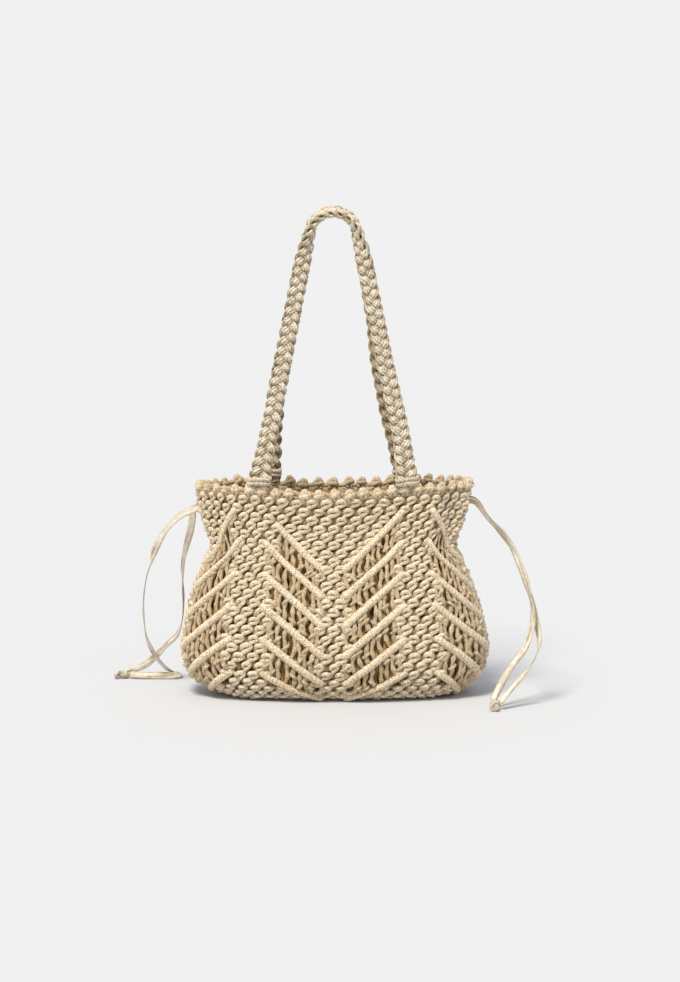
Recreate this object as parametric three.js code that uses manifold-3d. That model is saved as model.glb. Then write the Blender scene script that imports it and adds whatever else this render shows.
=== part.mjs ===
// A knotted cord tote bag. Four chevron panels of cord run round an open, oval bag that stands on
// its knotted base. Two plaited handles rise from the rim, and two flat cotton tapes gather the mouth.
// Millimetres, +Z up. X runs across the front, -Y is the front, and the origin is the middle of the
// base on the surface that the bag stands on.
import * as THREE from 'three';
import { mergeVertices } from 'three/addons/utils/BufferGeometryUtils.js';
import Module from 'manifold-3d';

// Bag
const bagWidth = 340; // widest, over the outside
const bagDepth = 126; // deepest, over the outside
const bagHeight = 240; // to the top of the rim beside the handles
const rimSag = 5; // how far the rim hangs between the legs of a handle
const wallThickness = 7; // of the knotted net
const sectionPower = 2.4; // of the superellipse that every level follows: 2 is an ellipse

// Chevron panels: each has two arms that slope down from its shoulders to its middle
const panelCount = 4;
const ribCount = 6;
const ribWidth = 9;
const ribRaise = 2.5;
const firstRibDrop = 27; // from the rim to the upper end of the first rib
const chevronDrop = 70; // from the first rib's upper end to its lower end
const lastChevronDrop = 46; // the same of the last rib, which lies flatter
const lastRibRise = 16; // from the base's edge up to the lower end of the last rib, along the wall
const shoulderBand = 40; // solid knots between the arms of two panels
const middleBand = 24; // solid knots between the two arms of a panel
const gapsPerArm = 3; // openings side by side between two ribs

// Handles
const handleWidth = 20;
const handleTopWidth = 16;
const handleFlare = 4; // added to a leg's width at its foot
const handleThickness = 10;
const totalHeight = 551;
const archRadius = 28; // of the handle's centreline over the top
const handleSpread = 166; // between the legs of the front handle at the rim
const handleGap = 0.6; // between the two handles where they meet at the top
const flareEnd = 0.16; // where a leg's flare ends, as a share of its rise
const turnStart = 0.76; // where a leg starts to turn its flat side, as a share of its rise

// Cord bound round the foot of each leg
const wrapTurns = 3;
const wrapCord = 3.2;

// Drawstring tapes
const tapeWidth = 8;
const tapeThickness = 1.4;
const upperTapeDrop = 20; // from the rim down to the middle of the right tape
const tapeSpacing = 9.6; // from the right tape down to the left tape
const tapeEndSpacing = 10; // between the two ends of one tape where they leave the bag
const slotClearance = 0.7; // round a tape in its slot
const tapeStandOff = 1.6; // from the inside of the wall
const knotLength = 15;
const knotWidth = 10;

const seatGap = 0.3; // between pieces that touch
const turn = 2 * Math.PI;

// The wall from the rim down: height, width and depth as shares of the bag's, at the middle of the wall
const profile = [
  { up: 1.0, wide: 0.905, deep: 0.52 },
  { up: 0.9, wide: 0.885, deep: 0.495 },
  { up: 0.8, wide: 0.845, deep: 0.52 },
  { up: 0.7, wide: 0.8, deep: 0.6 },
  { up: 0.6, wide: 0.86, deep: 0.71 },
  { up: 0.45, wide: 0.94, deep: 0.87 },
  { up: 0.3, wide: 0.985, deep: 0.965 },
  { up: 0.18, wide: 1.0, deep: 1.0 },
  { up: 0.09, wide: 0.95, deep: 0.955 },
  { up: 0.025, wide: 0.83, deep: 0.84 },
  { up: 0.0, wide: 0.7, deep: 0.66 },
];

// Soft folds: place and spread round the bag as shares of a turn from the middle of the front, push
// outwards in wall thicknesses, and the middle and reach down the wall as shares of its length
const folds = [
  { at: 0.195, spread: 0.02, push: -0.9, middle: 0.12, reach: 0.3 },
  { at: 0.305, spread: 0.02, push: -0.9, middle: 0.12, reach: 0.3 },
  { at: 0.695, spread: 0.02, push: -0.9, middle: 0.12, reach: 0.3 },
  { at: 0.805, spread: 0.02, push: -0.9, middle: 0.12, reach: 0.3 },
  { at: 0.06, spread: 0.03, push: -0.35, middle: 0.2, reach: 0.25 },
  { at: 0.93, spread: 0.03, push: -0.45, middle: 0.25, reach: 0.25 },
  { at: 0.44, spread: 0.03, push: -0.4, middle: 0.22, reach: 0.25 },
  { at: 0.57, spread: 0.03, push: -0.35, middle: 0.25, reach: 0.25 },
  { at: 0.0, spread: 0.045, push: 0.5, middle: 0.62, reach: 0.3 },
  { at: 0.5, spread: 0.045, push: 0.5, middle: 0.62, reach: 0.3 },
  { at: 0.25, spread: 0.06, push: 0.5, middle: 0.72, reach: 0.3 },
  { at: 0.75, spread: 0.06, push: -0.6, middle: 0.95, reach: 0.15 },
];

// The back handle sags sideways from the front handle's line: how far each leg lies to the right, in
// widths of a leg, at shares of its rise
const backSag = {
  left: [
    { climb: 0, aside: 0.75 },
    { climb: 0.08, aside: 0.6 },
    { climb: 0.2, aside: 0.2 },
    { climb: 0.32, aside: 0 },
    { climb: 1, aside: 0 },
  ],
  right: [
    { climb: 0, aside: -0.1 },
    { climb: 0.12, aside: -0.25 },
    { climb: 0.26, aside: -0.42 },
    { climb: 0.42, aside: -0.4 },
    { climb: 0.62, aside: -0.08 },
    { climb: 0.75, aside: 0 },
    { climb: 1, aside: 0 },
  ],
};

// Routes of the free tape ends, chosen by hand: each leaves its slot, and ends at its knot. The right
// tape's two ends hang in front of the middle and the left tape's two ends run to the back.
const tapeRoutes = {
  tape_left_long: [
    [-158, -5.5, 209], [-169, -3, 204], [-184, 2, 189], [-198, 10, 166], [-206, 18, 144], [-211.5, 27, 121],
    [-214.5, 36, 97], [-214.5, 45, 73], [-211.5, 51, 51.5], [-203.5, 57, 31], [-192.5, 68, 14], [-184, 77, 6.4],
    [-178.5, 79.5, 4.6], [-174.5, 76, 4.5], [-176.5, 70.5, 4.5], [-184, 67.5, 4.5], [-200, 66.8, 4.6],
    [-215.8, 67.3, 4.6], [-231, 70, 5],
  ],
  tape_left_short: [
    [-157, 5.5, 208.5], [-158, 8, 197], [-160, 11, 184], [-165, 17, 164], [-169.5, 24, 142.6], [-170, 31, 118.4],
    [-169.5, 39, 94.1], [-171.3, 47, 72.5], [-177, 54, 54.1], [-189.5, 61, 41], [-202, 67, 27.2], [-213.5, 71, 16.5],
    [-222.8, 73.5, 11.8], [-232, 75.8, 10.3],
  ],
  tape_right_outer: [
    [158.5, 5, 218.6], [164, 4.5, 212.5], [173, 2, 200], [187, -3, 184.5], [197, -8, 172], [203.5, -13, 160],
    [210.5, -19, 144.5], [217, -26, 126.5], [222.5, -33, 108.5], [225.5, -40, 92], [228.5, -47.5, 77.5],
    [228, -56, 61.5], [220, -65, 46], [208, -74, 33], [195, -82, 19], [184.6, -89.2, 8.4],
  ],
  tape_right_inner: [
    [158.5, -5, 218.6], [164, -5.5, 212.5], [173, -8, 201], [187, -12.5, 186], [197, -17.5, 174], [203, -22.5, 162],
    [209.5, -28.5, 147], [216, -35, 128.5], [221, -41.5, 110], [222.5, -46, 93.5], [219, -50, 77], [212.6, -55, 62],
    [199.5, -64, 46], [188, -73, 29.5], [180.5, -79.5, 15.5], [177.3, -84, 9.8],
  ],
};
const tapeKnots = {
  knot_left: { middle: [-238, 72, 5.2], heading: 190 },
  knot_right: { middle: [179, -90, 5.4], heading: 265 },
};

const material = (color, roughness) =>
  new THREE.MeshStandardMaterial({ color, roughness, metalness: 0 });
const netCord = material(0xcfbc9d, 0.9);
const handleCord = material(0xcbb898, 0.9);
const cottonTape = material(0xe4d6bb, 0.85);

// Every level of the bag: the widest level's superellipse, which getPointAt follows by its length.
class LevelCurve extends THREE.Curve {
  getPoint(share, target = new THREE.Vector3()) {
    const angle = turn * share;
    const swell = (value) => Math.sign(value) * Math.abs(value) ** (2 / sectionPower);
    return target.set((swell(Math.sin(angle)) * bagWidth) / 2, (-swell(Math.cos(angle)) * bagDepth) / 2, 0);
  }
}
const level = new LevelCurve();
level.arcLengthDivisions = 1200;

// The wall's profile as a curve of half width, half depth and height, followed by its length.
const wallProfile = new THREE.CatmullRomCurve3(
  profile.map(
    ({ up, wide, deep }) =>
      new THREE.Vector3(
        (wide * (bagWidth - wallThickness)) / 2,
        (deep * (bagDepth - wallThickness)) / 2,
        wallThickness / 2 + up * (bagHeight - wallThickness / 2),
      ),
  ),
  false,
  'centripetal',
);
wallProfile.arcLengthDivisions = 800;
const wallDrop = wallProfile.getLength();
const baseReach = profile.at(-1).deep * (bagDepth / 2);

const clamp = THREE.MathUtils.clamp;
const smooth = (from, to, value) => THREE.MathUtils.smoothstep(value, from, to);
const wrapShare = (share) => share - Math.floor(share);

// The middle of the wall before folds, at a share round the bag and a distance down from the rim. A
// narrower level is gathered in at its two sides, and keeps the middle of the front and back as wide.
function plainWall(around, down) {
  const edge = wallProfile.getPointAt(clamp(down / wallDrop, 0, 1));
  const flat = level.getPointAt(wrapShare(around));
  const narrow = 1 - (1 - edge.x / (bagWidth / 2)) * (flat.x / (bagWidth / 2)) ** 2;
  const shrink = 1 - clamp((down - wallDrop) / baseReach, 0, 1);
  const sag = rimSag * Math.max(0, Math.cos(2 * turn * around)) * (1 - smooth(0, wallDrop / 2, down));
  return new THREE.Vector3(
    flat.x * narrow * shrink,
    ((flat.y * edge.y) / (bagDepth / 2)) * shrink,
    edge.z - sag,
  );
}

// The outward direction of the wall.
function wallNormal(around, down) {
  if (down >= wallDrop) return new THREE.Vector3(0, 0, -1);
  const sideStep = 0.002;
  const downStep = 1;
  const above = Math.max(down - downStep, 0);
  const across = plainWall(around + sideStep, down).sub(plainWall(around - sideStep, down));
  const along = plainWall(around, above).sub(plainWall(around, Math.min(down + downStep, wallDrop)));
  return across.cross(along).normalize();
}

// How far the soft folds push the wall outwards.
function foldPush(around, down) {
  return folds.reduce((sum, fold) => {
    const apart = Math.abs(wrapShare(around - fold.at + 0.5) - 0.5);
    const below = Math.abs(down / wallDrop - fold.middle);
    const share = (1 - smooth(0, 2 * fold.spread, apart)) * (1 - smooth(0, fold.reach, below));
    return sum + fold.push * wallThickness * share;
  }, 0);
}

function wallPoint(around, down, outwards) {
  const push = down < wallDrop ? foldPush(around, down) : 0;
  return plainWall(around, down).addScaledVector(wallNormal(around, down), push + outwards);
}

// Joins rings of equally many points into one closed solid. A closed run joins its last ring to its
// first, and an open one gets a flat cap at each end.
function joinRings(rings, closed) {
  const count = rings[0].length;
  const positions = rings.flatMap((ring) => ring.flatMap((point) => point.toArray()));
  const faces = [];
  const last = closed ? rings.length : rings.length - 1;
  for (let i = 0; i < last; i++) {
    const here = i * count;
    const there = ((i + 1) % rings.length) * count;
    for (let j = 0; j < count; j++) {
      const next = (j + 1) % count;
      faces.push(here + j, here + next, there + next, here + j, there + next, there + j);
    }
  }
  if (!closed) {
    const end = (rings.length - 1) * count;
    for (let j = 1; j < count - 1; j++) {
      faces.push(0, j + 1, j, end, end + j, end + j + 1);
    }
  }
  const geometry = new THREE.BufferGeometry();
  geometry.setAttribute('position', new THREE.Float32BufferAttribute(positions, 3));
  geometry.setIndex(faces);
  return geometry;
}

// A closed outline of a strap: width by thickness, with well-rounded corners.
function strapOutline(width, thickness, sides = 12) {
  return Array.from({ length: sides }, (_, i) => {
    const angle = (turn * (i + 0.5)) / sides;
    const swell = (value) => Math.sign(value) * Math.abs(value) ** (2 / 2.6);
    return new THREE.Vector2((swell(Math.cos(angle)) * width) / 2, (swell(Math.sin(angle)) * thickness) / 2);
  });
}

const wasm = await Module();
wasm.setup();

function toManifold(geometry) {
  const plain = geometry.clone();
  plain.deleteAttribute('normal');
  plain.deleteAttribute('uv');
  const merged = mergeVertices(plain, 1e-4);
  return new wasm.Manifold(
    new wasm.Mesh({
      numProp: 3,
      vertProperties: new Float32Array(merged.attributes.position.array),
      triVerts: new Uint32Array(merged.index.array),
    }),
  );
}

function toGeometry(solid) {
  const mesh = solid.getMesh();
  const geometry = new THREE.BufferGeometry();
  geometry.setAttribute('position', new THREE.BufferAttribute(new Float32Array(mesh.vertProperties), 3));
  geometry.setIndex([...mesh.triVerts]);
  return geometry;
}

// Chevron panel lines, in shares of one panel from its middle
const panelLength = level.getLength() / panelCount;
const armLow = middleBand / 2 / panelLength;
const armHigh = 0.5 - shoulderBand / 2 / panelLength;
const cellsPerArm = 2 * gapsPerArm - 1;
const ribSpacing = (wallDrop - lastRibRise - firstRibDrop - lastChevronDrop) / (ribCount - 1);

// How far down a rib's middle lies, at a share of a panel from its middle.
function ribMiddle(rib, fromMiddle) {
  const drop = THREE.MathUtils.lerp(chevronDrop, lastChevronDrop, rib / (ribCount - 1));
  const lowered = clamp((armHigh - Math.abs(fromMiddle)) / (armHigh - armLow), 0, 1);
  return firstRibDrop + rib * ribSpacing + drop * lowered;
}

// The net's columns: {around, fromMiddle, arm, cell} for the lines that bound its cells.
function netColumns() {
  const arm = Array.from({ length: cellsPerArm }, (_, i) => ({
    place: THREE.MathUtils.lerp(armHigh, armLow, i / cellsPerArm),
    gap: i % 2 === 0,
  }));
  const left = [{ place: -0.5 }, ...arm.map(({ place, gap }) => ({ place: -place, gap })), { place: -armLow }];
  const right = [
    { place: 0 },
    ...arm
      .map(({ place }, i) => ({ place: i + 1 < cellsPerArm ? arm[i + 1].place : armLow, gap: arm[i].gap, top: place }))
      .reverse(),
    { place: armHigh },
  ];
  const panel = [...left, ...right];
  return Array.from({ length: panelCount }, (_, p) =>
    panel.map(({ place, gap = false }) => ({ around: (p + place) / panelCount, fromMiddle: place, gap })),
  ).flat();
}

// The net's rows from the rim to the base: how far down each lies, and what bounds it.
function netRows() {
  const ribEdge = (rib, side) => (fromMiddle) => ribMiddle(rib, fromMiddle) + (side * ribWidth) / 2;
  const rows = [0, 0.36, 0.7].map((share) => ({ down: (place) => share * ribEdge(0, -1)(place) }));
  for (let rib = 0; rib < ribCount; rib++) {
    rows.push({ down: ribEdge(rib, -1) });
    rows.push({ down: ribEdge(rib, 0), crest: true });
    rows.push({ down: ribEdge(rib, 1), bay: rib < ribCount - 1 });
  }
  const lastEdge = ribEdge(ribCount - 1, 1);
  for (const share of [0.45, 0.75, 0.9]) {
    rows.push({ down: (place) => THREE.MathUtils.lerp(lastEdge(place), wallDrop, share) });
  }
  rows.push({ down: () => wallDrop });
  rows.push({ down: () => wallDrop + baseReach / 2 });
  return rows;
}

// The knotted net: an outer and an inner face with the bays between the ribs cut through. Nothing
// hangs below the surface that it stands on.
function netGeometry() {
  const columns = netColumns();
  const rows = netRows();
  const inArm = ({ fromMiddle }) => {
    const place = Math.abs(fromMiddle);
    return place > armLow - 1e-9 && place < armHigh + 1e-9;
  };
  const faces = [
    { out: 1, rows: rows.map((_, j) => j) },
    { out: -1, rows: rows.map((_, j) => j).filter((j) => !rows[j].crest) },
  ];
  const positions = [];
  const triangles = [];
  const addPoint = (point) => positions.push(...point.toArray()) / 3 - 1;
  const addQuad = (a, b, c, d) => triangles.push(a, b, c, a, c, d);
  const grids = faces.map(({ out, rows: used }) => {
    const grid = new Map();
    for (const j of used) {
      grid.set(
        j,
        columns.map((column) => {
          const raise = rows[j].crest && inArm(column) ? ribRaise : 0;
          const point = wallPoint(column.around, rows[j].down(column.fromMiddle), out * (wallThickness / 2 + raise));
          return addPoint(point.setZ(Math.max(point.z, 0)));
        }),
      );
    }
    const pole = addPoint(wallPoint(0, wallDrop + baseReach, (out * wallThickness) / 2));
    return { grid, pole };
  });
  const sides = columns.length;
  faces.forEach(({ out, rows: used }, f) => {
    const { grid, pole } = grids[f];
    for (let n = 0; n < used.length; n++) {
      const upper = grid.get(used[n]);
      const lower = grid.get(used[n + 1]);
      for (let i = 0; i < sides; i++) {
        const next = (i + 1) % sides;
        if (!lower) {
          triangles.push(pole, ...(out > 0 ? [upper[next], upper[i]] : [upper[i], upper[next]]));
        } else if (!(rows[used[n]].bay && columns[i].gap)) {
          const corners = [lower[i], lower[next], upper[next], upper[i]];
          addQuad(...(out > 0 ? corners : corners.reverse()));
        }
      }
    }
  });
  const [outer, inner] = grids.map(({ grid }) => grid);
  for (let i = 0; i < sides; i++) {
    const next = (i + 1) % sides;
    addQuad(outer.get(0)[i], outer.get(0)[next], inner.get(0)[next], inner.get(0)[i]);
    rows.forEach((row, j) => {
      if (!row.bay || !columns[i].gap) return;
      const around = [
        [i, j],
        [next, j],
        [next, j + 1],
        [i, j + 1],
      ];
      around.forEach(([a, b], n) => {
        const [c, d] = around[(n + 1) % around.length];
        addQuad(outer.get(d)[c], outer.get(b)[a], inner.get(b)[a], inner.get(d)[c]);
      });
    });
  }
  const geometry = new THREE.BufferGeometry();
  geometry.setAttribute('position', new THREE.Float32BufferAttribute(positions, 3));
  geometry.setIndex(triangles);
  return geometry;
}

// Where a tape's run inside the mouth hands over to its free ends, outwards from the wall's middle.
const tapeStart = -0.2 * wallThickness;

// Where the two ends of a tape leave the bag: side is 1 for the right and -1 for the left.
function tapeExits({ side, down }) {
  const middle = 0.5 - side * 0.25;
  const reach = tapeEndSpacing / 2 / (100 * wallPoint(0.245, down, 0).distanceTo(wallPoint(0.255, down, 0)));
  return [middle - reach, middle + reach];
}
const tapes = [
  { name: 'tape_right_loop', side: 1, down: upperTapeDrop, ends: ['tape_right_inner', 'tape_right_outer'] },
  { name: 'tape_left_loop', side: -1, down: upperTapeDrop + tapeSpacing, ends: ['tape_left_short', 'tape_left_long'] },
];

// A point in a tape's slot, which runs straight out sideways, at a distance out from the wall's middle.
const slotPoint = ({ side, down }, around, out) =>
  wallPoint(around, down, 0).add(new THREE.Vector3(side * out, 0, 0));

// A slot through the wall for one end of a tape.
function tapeSlot(tape, around) {
  const slot = new THREE.BoxGeometry(
    3 * wallThickness,
    tapeThickness + 2 * slotClearance,
    tapeWidth + 2 * slotClearance,
  );
  return slot.translate(...slotPoint(tape, around, 0).toArray());
}

function netBody() {
  let solid = toManifold(netGeometry());
  for (const tape of tapes) {
    for (const around of tapeExits(tape)) solid = solid.subtract(toManifold(tapeSlot(tape, around)));
  }
  return toGeometry(solid);
}

// A value of a table at a climb, eased between its rows.
function easedAside(table, climb) {
  const next = table.findIndex((row) => row.climb >= climb);
  if (next < 1) return table.at(next < 0 ? -1 : 0).aside;
  const [low, high] = [table[next - 1], table[next]];
  return THREE.MathUtils.lerp(low.aside, high.aside, smooth(low.climb, high.climb, climb));
}

// A handle's leg leaves the rim at its seat, leans in as a straight line and meets the arch. The path
// runs from the left foot over the top to the right foot, and along is the distance from the top.
function handlePath(front) {
  const asideAt = (sideways, climb) =>
    front ? 0 : handleWidth * easedAside(sideways < 0 ? backSag.left : backSag.right, climb);
  const half = handleSpread / 2;
  const seats = {
    left: rimSeat(half - asideAt(-1, 0), front, -1),
    right: rimSeat(half + asideAt(1, 0), front, 1),
  };
  const foot = Math.max(seats.left.z, seats.right.z);
  const rise = totalHeight - handleThickness / 2 - foot;
  const centre = rise - archRadius;
  const lean = Math.atan2(half, centre) - Math.asin(archRadius / Math.hypot(half, centre));
  const legLength = Math.sqrt(half ** 2 + centre ** 2 - archRadius ** 2);
  const archLength = archRadius * (Math.PI / 2 - lean);
  const topDepth = ((front ? -1 : 1) * (handleTopWidth + handleGap)) / 2;
  const at = (along) => {
    const far = Math.abs(along);
    const sideways = Math.sign(along) || 1;
    const onArch = Math.min(far, archLength) / archRadius;
    const onLeg = Math.max(far - archLength, 0);
    const x = archRadius * Math.sin(onArch) + Math.sin(lean) * onLeg;
    const z = centre + archRadius * Math.cos(onArch) - Math.cos(lean) * onLeg;
    const climb = z / rise;
    const seat = sideways < 0 ? seats.left : seats.right;
    const depth = THREE.MathUtils.lerp(seat.y, topDepth, Math.sin((clamp(climb, 0, 1) * Math.PI) / 2));
    const settle = (seat.z - foot) * (1 - smooth(0, flareEnd, climb));
    return {
      middle: new THREE.Vector3(sideways * x + asideAt(sideways, climb), depth, foot + z + settle),
      turned: (smooth(turnStart, 1, climb) * Math.PI) / 2,
      climb,
    };
  };
  return { at, archLength, reach: archLength + legLength };
}

// The rim's top where a handle's leg stands, at a distance across from the middle.
function rimSeat(across, front, sideways) {
  let low = 0;
  let high = 0.25;
  for (let i = 0; i < 40; i++) {
    const middle = (low + high) / 2;
    if (wallPoint(middle, 0, 0).x < across) low = middle;
    else high = middle;
  }
  const around = sideways * (front ? low : 0.5 - low);
  const footReach = (1.2 * handleWidth) / level.getLength();
  const heights = [-1, -0.5, 0, 0.5, 1].map((step) => wallPoint(around + step * footReach, 0, 0).z);
  return wallPoint(around, 0, 0).setZ(Math.max(...heights));
}

// A flat plaited strap that turns its flat side inwards over the top.
function handleGeometry(front) {
  const { at, archLength, reach } = handlePath(front);
  const archSteps = 7;
  const legSteps = 13;
  const half = [
    ...Array.from({ length: archSteps }, (_, i) => (archLength * i) / archSteps),
    ...Array.from({ length: legSteps + 1 }, (_, i) => archLength + ((reach - archLength) * i) / legSteps),
  ];
  const stations = [...half.slice(1).reverse().map((along) => -along), ...half];
  const rings = stations.map((along, i) => {
    const { middle, turned, climb } = at(along);
    const isEnd = i === 0 || i === stations.length - 1;
    const ahead = isEnd
      ? new THREE.Vector3(0, 0, -Math.sign(along))
      : at(along + 0.5).middle.sub(at(along - 0.5).middle).normalize();
    const flat = new THREE.Vector3(0, 1, 0).cross(ahead).normalize();
    const depth = ahead.clone().cross(flat).normalize();
    const width =
      THREE.MathUtils.lerp(handleWidth, handleTopWidth, climb) + handleFlare * (1 - smooth(0, flareEnd, climb));
    const wide = flat.clone().multiplyScalar(Math.cos(turned)).addScaledVector(depth, Math.sin(turned));
    const thick = ahead.clone().cross(wide).normalize();
    const foot = middle.clone().add(new THREE.Vector3(0, 0, isEnd ? seatGap : 0));
    return strapOutline(width, handleThickness).map((corner) =>
      foot.clone().addScaledVector(wide, corner.x).addScaledVector(thick, corner.y),
    );
  });
  return joinRings(rings, false);
}

// Turns of cord bound round the foot of a leg: side is 1 for the right and -1 for the left.
function wrapGeometry(front, side) {
  const { at, reach } = handlePath(front);
  const foot = at(side * reach).middle.z;
  const height = wrapTurns * wrapCord;
  const steps = 2 * wrapTurns;
  const bulges = Array.from({ length: steps + 1 }, (_, i) => ({
    out: wrapCord * (i % 2 === 1 ? 0.75 : 0.4),
    up: (i / steps) * height,
  }));
  const section = [{ out: 0, up: height }, ...bulges.reverse(), { out: 0, up: 0 }];
  const corners = strapOutline(handleWidth + handleFlare + 4 * seatGap, handleThickness + 4 * seatGap, 16);
  const rings = corners.map((corner) =>
    section.map(({ out, up }) => {
      const { middle } = at(side * (reach - up));
      const grow = 1 + (seatGap + out) / corner.length();
      return new THREE.Vector3(
        middle.x + corner.x * grow,
        middle.y + corner.y * grow,
        foot + seatGap + up,
      );
    }),
  );
  return joinRings(rings, true);
}

// A tape's run inside the mouth, with both ends turned out into their slots.
function tapeLoopGeometry(tape) {
  const [first, second] = tapeExits(tape);
  const inside = -(wallThickness / 2 + tapeStandOff + tapeThickness / 2);
  const bend = (1.5 * tapeEndSpacing) / level.getLength();
  const lap = netColumns()
    .map(({ around }) => wrapShare(around - second))
    .filter((share) => share > bend && share < 1 - (second - first) - bend)
    .sort((a, b) => a - b)
    .map((share) => second + share);
  const hold = (around, out) =>
    wallPoint(around, tape.down, 0).addScaledVector(wallNormal(around, tape.down).setZ(0).normalize(), out);
  const points = [
    slotPoint(tape, second, tapeStart),
    slotPoint(tape, second, inside),
    ...lap.map((around) => hold(around, inside)),
    slotPoint(tape, first + 1, inside),
    slotPoint(tape, first + 1, tapeStart),
  ];
  const rings = points.map((point, i) => {
    const ahead = points[Math.min(i + 1, points.length - 1)]
      .clone()
      .sub(points[Math.max(i - 1, 0)])
      .setZ(0)
      .normalize();
    const across = new THREE.Vector3(ahead.y, -ahead.x, 0).multiplyScalar(tapeThickness / 2);
    const up = new THREE.Vector3(0, 0, tapeWidth / 2);
    return [
      point.clone().add(across).sub(up),
      point.clone().sub(across).sub(up),
      point.clone().sub(across).add(up),
      point.clone().add(across).add(up),
    ];
  });
  return joinRings(rings, false);
}

// A free end of a tape: a flat section carried from its slot along its route without twisting.
function tapeEndGeometry(name) {
  const tape = tapes.find(({ ends }) => ends.includes(name));
  const around = tapeExits(tape)[tape.ends.indexOf(name)];
  const slot = [tapeStart + seatGap, wallThickness].map((out) => slotPoint(tape, around, out));
  const path = new THREE.CatmullRomCurve3([
    ...slot,
    ...tapeRoutes[name].map((point) => new THREE.Vector3(...point)),
  ]);
  const steps = Math.round(path.getLength() / (1.8 * tapeWidth));
  const wide = new THREE.Vector3(0, 0, 1);
  const rings = Array.from({ length: steps + 1 }, (_, i) => {
    const middle = path.getPointAt(i / steps);
    const ahead = path.getTangentAt(i / steps);
    wide.addScaledVector(ahead, -wide.dot(ahead)).normalize();
    const thick = ahead.clone().cross(wide);
    return strapOutline(tapeWidth, tapeThickness, 8).map((corner) =>
      middle.clone().addScaledVector(wide, corner.x).addScaledVector(thick, corner.y),
    );
  });
  return joinRings(rings, false);
}

// The overhand knot that ties a tape's two ends together, as a closed pebble.
function knotGeometry({ middle, heading }) {
  const pebble = new THREE.SphereGeometry(0.5, 12, 8);
  pebble.scale(knotLength, knotWidth, knotWidth);
  pebble.rotateZ(THREE.MathUtils.degToRad(heading));
  return pebble.translate(...middle);
}

const bag = new THREE.Group();
function addPiece(name, geometry, finish) {
  const mesh = new THREE.Mesh(geometry, finish);
  mesh.name = name;
  bag.add(mesh);
}

addPiece('net_body', netBody(), netCord);
for (const end of ['front', 'back']) {
  const front = end === 'front';
  addPiece(`handle_${end}`, handleGeometry(front), handleCord);
  addPiece(`wrap_${end}_left`, wrapGeometry(front, -1), handleCord);
  addPiece(`wrap_${end}_right`, wrapGeometry(front, 1), handleCord);
}
for (const tape of tapes) addPiece(tape.name, tapeLoopGeometry(tape), cottonTape);
for (const name of Object.keys(tapeRoutes)) addPiece(name, tapeEndGeometry(name), cottonTape);
for (const [name, knot] of Object.entries(tapeKnots)) addPiece(name, knotGeometry(knot), cottonTape);

export default bag;
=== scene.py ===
import math

import bpy
import numpy as np
from mathutils import Matrix, Vector


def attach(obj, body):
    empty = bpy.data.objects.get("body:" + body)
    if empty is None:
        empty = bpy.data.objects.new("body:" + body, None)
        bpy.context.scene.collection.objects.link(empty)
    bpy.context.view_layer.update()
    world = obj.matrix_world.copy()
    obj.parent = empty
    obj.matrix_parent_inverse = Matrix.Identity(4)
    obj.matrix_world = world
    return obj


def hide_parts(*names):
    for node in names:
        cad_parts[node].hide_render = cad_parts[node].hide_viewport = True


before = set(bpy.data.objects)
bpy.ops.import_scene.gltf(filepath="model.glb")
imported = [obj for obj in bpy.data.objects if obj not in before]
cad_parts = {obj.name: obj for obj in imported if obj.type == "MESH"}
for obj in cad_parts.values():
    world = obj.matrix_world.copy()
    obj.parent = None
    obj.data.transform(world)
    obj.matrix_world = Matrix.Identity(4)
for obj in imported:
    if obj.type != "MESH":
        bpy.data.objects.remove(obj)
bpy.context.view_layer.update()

# A knotted cord tote: square knots, corded ribs and crossed strands are worked flat, in millimetres, and
# then laid on the wall of the bag. Sizes are in millimetres unless a note says otherwise.
mm = 0.001
turn = 2 * math.pi
rng = np.random.default_rng(7)

print("camera")
# The elevation is in degrees and the distance in metres. A pixel is its size on the bag, the rows are the
# picture's height in pixels, and right and up lead to the point that the picture's middle looks at.
view = {"elevation": 10.5, "distance": 6.0, "sensor": 36.0, "pixel": 1.125, "rows": 982, "right": 7.3,
        "up": 226.2}


def placeCamera():
    tilt = math.radians(view["elevation"])
    forward = Vector((0, math.cos(tilt), -math.sin(tilt)))
    up = Vector((0, math.sin(tilt), math.cos(tilt)))
    target = Vector((view["right"] * mm, 0, 0)) + up * view["up"] * mm
    data = bpy.data.cameras.new("camera")
    data.sensor_fit = "VERTICAL"
    data.sensor_height = view["sensor"]
    data.lens = view["sensor"] * view["distance"] / (view["rows"] * view["pixel"] * mm)
    data.clip_end = 200
    camera = bpy.data.objects.new("camera", data)
    bpy.context.scene.collection.objects.link(camera)
    turned = Matrix((forward.cross(up), up, -forward)).transposed().to_4x4()
    camera.matrix_world = Matrix.Translation(target - forward * view["distance"]) @ turned
    bpy.context.scene.camera = camera


placeCamera()

print("materials")


def linear(hexColour):
    value = np.array([int(hexColour[i:i + 2], 16) for i in (1, 3, 5)]) / 255
    value = np.where(value <= 0.04045, value / 12.92, ((value + 0.055) / 1.055) ** 2.4)
    return (*value.tolist(), 1.0)


# Adds a node with its settings. An input is given as a value, or as the socket to link to it.
def addNode(tree, kind, inputs=None, **settings):
    node = tree.nodes.new("ShaderNode" + kind)
    for name, value in settings.items():
        setattr(node, name, value)
    for name, value in (inputs or {}).items():
        if isinstance(value, bpy.types.NodeSocket):
            tree.links.new(value, node.inputs[name])
        else:
            node.inputs[name].default_value = value
    return node


def newMaterial(name):
    material = bpy.data.materials.new(name)
    material.use_nodes = True
    material.node_tree.nodes.clear()
    return material, material.node_tree


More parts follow.
